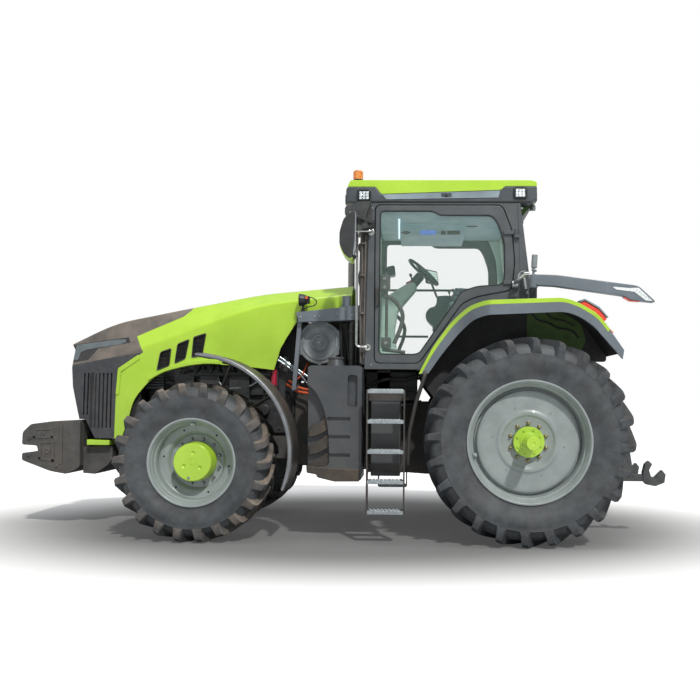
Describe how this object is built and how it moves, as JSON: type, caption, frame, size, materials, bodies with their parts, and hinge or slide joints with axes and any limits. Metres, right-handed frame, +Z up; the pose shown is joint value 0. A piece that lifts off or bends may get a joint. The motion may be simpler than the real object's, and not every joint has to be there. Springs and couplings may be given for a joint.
{
  "type": "four-wheel-drive farm tractor",
  "caption": "Row-crop farm tractor with closed cab, tilting bonnet, steered front axle, opening doors, front weights and rear three-point linkage.",
  "frame": {"origin": "on the ground, midway between the front-most and rear-most points, on the centre line", "axes": "+X forward, +Y to the driver's left, +Z up"},
  "size_m": [6.403, 2.868, 3.532],
  "materials": {
    "lime_paint": "gloss enamel",
    "dark_grey_plastic": "moulded, satin",
    "black_plastic": "moulded, dusty",
    "cab_paint": "satin powder coat",
    "cast_black": "painted casting",
    "rim_paint": "satin enamel",
    "tyre_rubber": "moulded, dusty",
    "tinted_glass": "tinted",
    "lamp_glass": "clear",
    "lamp_red": "moulded",
    "steel": "zinc plated",
    "seat_fabric": "woven",
    "console_plastic": "moulded"
  },
  "bodies": {
    "root": {"front_axle_beam": "cast_black", "front_frame": "cast_black", "bumper_lip": "lime_paint", "front_weights": "cast_black", "engine_block": "cast_black", "transmission_housing": "cast_black", "rear_axle_housing": "cast_black", "rear_fenders": "dark_grey_plastic", "fender_trims": "lime_paint", "cab_frame": "cab_paint", "cab_windows": "tinted_glass", "roof_base": "dark_grey_plastic", "cab_roof": "lime_paint", "seat_pedestal": "black_plastic", "seat_cushions": "seat_fabric", "steering_column": "console_plastic", "side_console": "black_plastic", "fuel_tanks": "black_plastic", "battery_boxes": "black_plastic", "cab_steps": "steel", "handrails": "steel", "hood_beams": "cab_paint", "air_cleaner": "black_plastic", "exhaust_stack": "steel", "work_lamps": "lamp_glass", "tail_lamps": "lamp_red", "lamp_booms": "cab_paint", "mirrors": "black_plastic", "rear_hitch": "cast_black"},
    "wheel_rear_left": {"tyre_rear_left": "tyre_rubber", "rim_rear_left": "rim_paint", "hub_rear_left": "lime_paint"},
    "wheel_front_left": {"tyre_front_left": "tyre_rubber", "rim_front_left": "rim_paint", "hub_front_left": "lime_paint"},
    "wheel_rear_right": {"tyre_rear_right": "tyre_rubber", "rim_rear_right": "rim_paint", "hub_rear_right": "lime_paint"},
    "wheel_front_right": {"tyre_front_right": "tyre_rubber", "rim_front_right": "rim_paint", "hub_front_right": "lime_paint"},
    "knuckle_left": {"knuckle_left": "cast_black", "mudguard_left": "dark_grey_plastic"},
    "knuckle_right": {"knuckle_right": "cast_black", "mudguard_right": "dark_grey_plastic"},
    "tie_rod": {"tie_rod": "steel"},
    "door_left": {"door_left": "cab_paint", "door_glass_left": "tinted_glass"},
    "door_right": {"door_right": "cab_paint", "door_glass_right": "tinted_glass"},
    "steering_wheel": {"steering_wheel": "black_plastic"},
    "hood": {"hood_shell": "lime_paint", "nose_cap": "black_plastic", "headlamps": "lamp_glass", "front_grille": "black_plastic"},
    "lower_links": {"lower_links": "cast_black"},
    "lift_arms": {"lift_arms": "cast_black"},
    "lift_rods": {"lift_rods": "cast_black"}
  },
  "joints": [
    {"name": "wheel_rear_left_spin", "type": "hinge", "parent": "root", "child": "wheel_rear_left", "pos_m": [-1.7705, 0.975, 0.94], "axis": [0, 1, 0], "continuous": true},
    {"name": "steer_left", "type": "hinge", "parent": "root", "child": "knuckle_left", "pos_m": [1.2745, 0.76, 0.728], "axis": [0, 0, 1], "range_deg": [-32, 32]},
    {"name": "wheel_front_left_spin", "type": "hinge", "parent": "knuckle_left", "child": "wheel_front_left", "pos_m": [1.2745, 0.93, 0.728], "axis": [0, 1, 0], "continuous": true},
    {"name": "door_left_hinge", "type": "hinge", "parent": "root", "child": "door_left", "pos_m": [-1.6855, 0.822, 2.6], "axis": [0, 0, 1], "range_deg": [0, 75]},
    {"name": "wheel_rear_right_spin", "type": "hinge", "parent": "root", "child": "wheel_rear_right", "pos_m": [-1.7705, -0.975, 0.94], "axis": [0, 1, 0], "continuous": true},
    {"name": "steer_right", "type": "hinge", "parent": "root", "child": "knuckle_right", "pos_m": [1.2745, -0.76, 0.728], "axis": [0, 0, 1], "range_deg": [-32, 32]},
    {"name": "wheel_front_right_spin", "type": "hinge", "parent": "knuckle_right", "child": "wheel_front_right", "pos_m": [1.2745, -0.93, 0.728], "axis": [0, 1, 0], "continuous": true},
    {"name": "door_right_hinge", "type": "hinge", "parent": "root", "child": "door_right", "pos_m": [-1.6855, -0.822, 2.6], "axis": [0, 0, -1], "range_deg": [0, 75]},
    {"name": "tie_rod_joint", "type": "hinge", "parent": "knuckle_left", "child": "tie_rod", "pos_m": [1.0545, 0.76, 0.606], "axis": [0, 0, 1], "range_deg": [-32, 32]},
    {"name": "hood_tilt", "type": "hinge", "parent": "root", "child": "hood", "pos_m": [-0.0655, 0, 2.29], "axis": [0, -1, 0], "range_deg": [0, 45]},
    {"name": "hitch_lift", "type": "hinge", "parent": "root", "child": "lower_links", "pos_m": [-2.1705, 0, 0.56], "axis": [0, 1, 0], "range_deg": [-12, 28]},
    {"name": "lift_arm_turn", "type": "hinge", "parent": "root", "child": "lift_arms", "pos_m": [-2.1705, 0, 1.23], "axis": [0, 1, 0], "range_deg": [-12, 28]},
    {"name": "lift_rod_swing", "type": "hinge", "parent": "lift_arms", "child": "lift_rods", "pos_m": [-2.5905, 0, 1.235], "axis": [0, 1, 0], "range_deg": [-28, 12]},
    {"name": "steering_wheel_turn", "type": "hinge", "parent": "root", "child": "steering_wheel", "pos_m": [-0.8255, 0, 2.648], "axis": [-0.6494, 0, 0.7604], "continuous": true}
  ],
  "couplings": [
    {"joint": "steer_right", "follows": "steer_left", "ratio": 1},
    {"joint": "tie_rod_joint", "follows": "steer_left", "ratio": -1},
    {"joint": "lift_arm_turn", "follows": "hitch_lift", "ratio": 1},
    {"joint": "lift_rod_swing", "follows": "hitch_lift", "ratio": -1}
  ]
}
